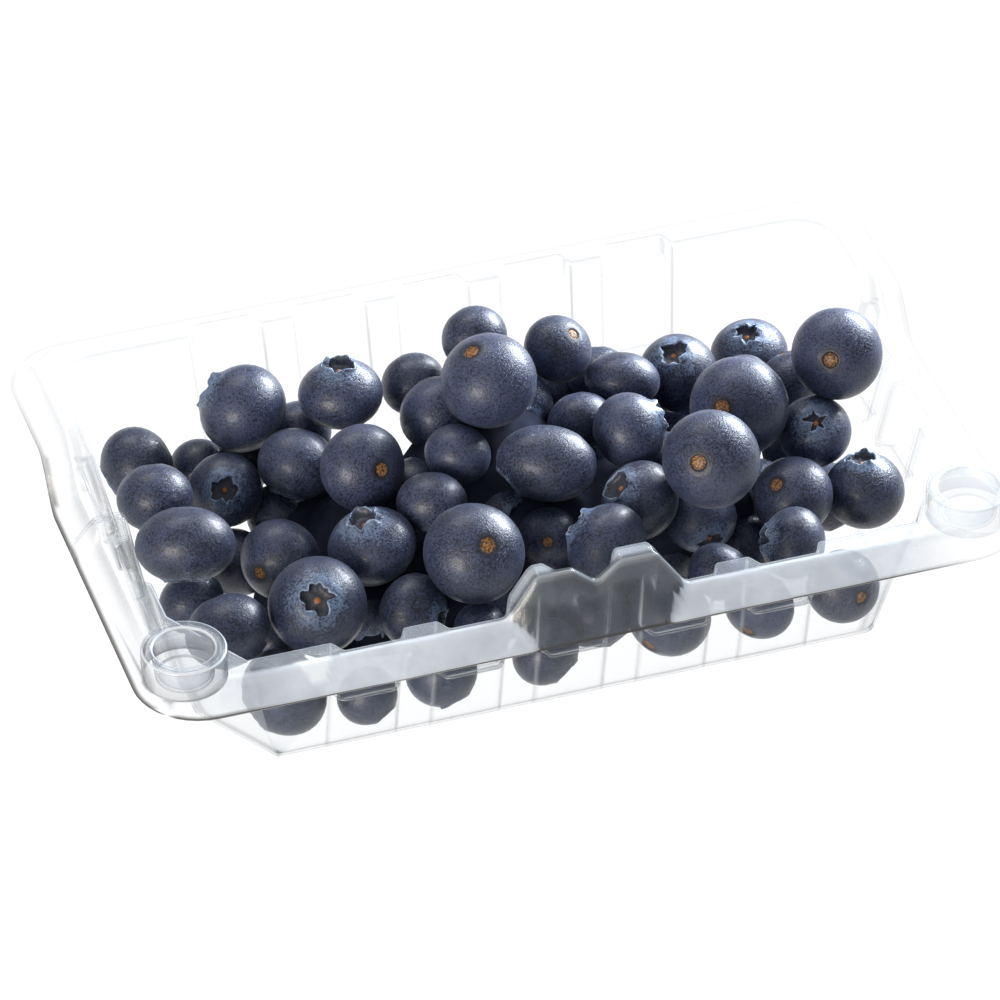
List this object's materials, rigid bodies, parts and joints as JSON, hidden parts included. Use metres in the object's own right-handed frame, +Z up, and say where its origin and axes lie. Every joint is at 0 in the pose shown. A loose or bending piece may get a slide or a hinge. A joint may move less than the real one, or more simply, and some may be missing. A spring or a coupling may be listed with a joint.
{
  "type": "punnet of blueberries",
  "caption": "Shallow clear punnet with bayed walls, flat rim, raised rear, notched front tab and two corner snap studs, heaped with fresh blueberries.",
  "frame": {"origin": "Middle of the tray's flat underside.", "axes": "+X runs along the long side, -Y is the front with the notched tab and the two snap studs, and +Z is up."},
  "size_m": [0.1692, 0.1048, 0.0498],
  "materials": {
    "clear_sheet": "Thin clear formed sheet, glossy on both faces, bright along its folds and faintly wavy where it was stretched.",
    "berry_skin": "Blue-black berry skin with a dusty pale bloom, palest round the crown, and a small dry brown stem scar."
  },
  "bodies": {
    "root": {"tray": "clear_sheet", "berries": "berry_skin"}
  },
  "joints": []
}
